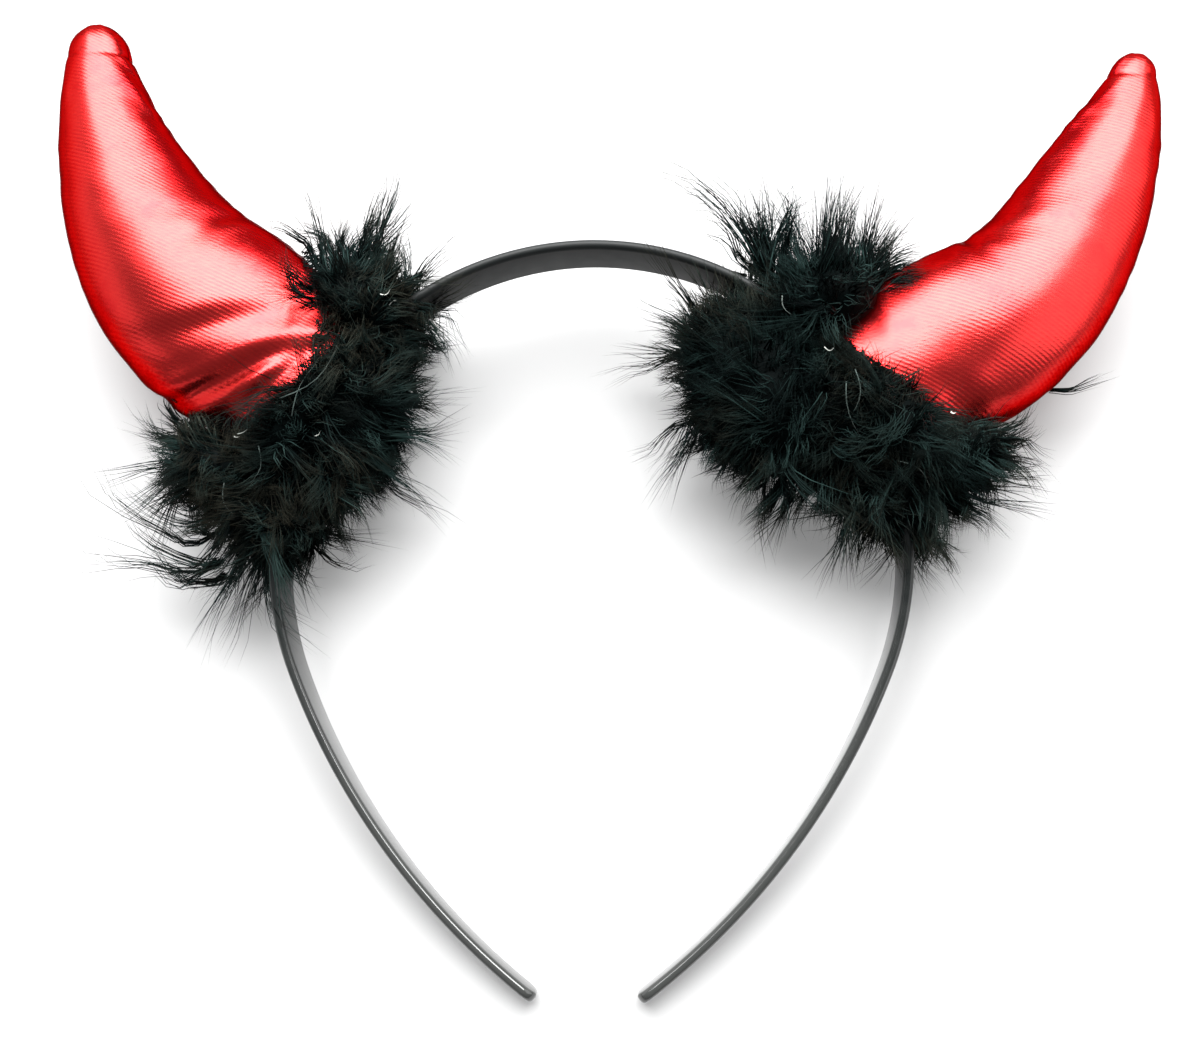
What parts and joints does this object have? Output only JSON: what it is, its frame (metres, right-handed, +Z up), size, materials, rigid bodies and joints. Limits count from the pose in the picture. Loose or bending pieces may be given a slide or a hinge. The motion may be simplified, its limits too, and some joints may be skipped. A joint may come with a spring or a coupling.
{
  "type": "devil horns headband",
  "caption": "Springy plastic headband with curved stuffed horns of metallic red cloth, each seated on the band in a ruff of black marabou feather trim.",
  "frame": {"origin": "middle of the footprint, on the table that the headband lies on", "axes": "+X from the horn on the picture's left to the one on its right, +Y from the band's two ends towards the crown, +Z up, out of the table towards the wearer's front"},
  "size_m": [0.2384, 0.2058, 0.0494],
  "materials": {
    "band_plastic": "moulded black plastic, semi-gloss, with softly rounded edges",
    "red_lame": "finely ribbed metallic red lame cloth, pulled smooth over a firm stuffing",
    "black_marabou": "fluffy black marabou feather with a faint green tint"
  },
  "bodies": {
    "root": {"headband": "band_plastic", "horn_left": "red_lame", "horn_right": "red_lame", "marabou_left": "black_marabou", "marabou_right": "black_marabou"}
  },
  "joints": []
}
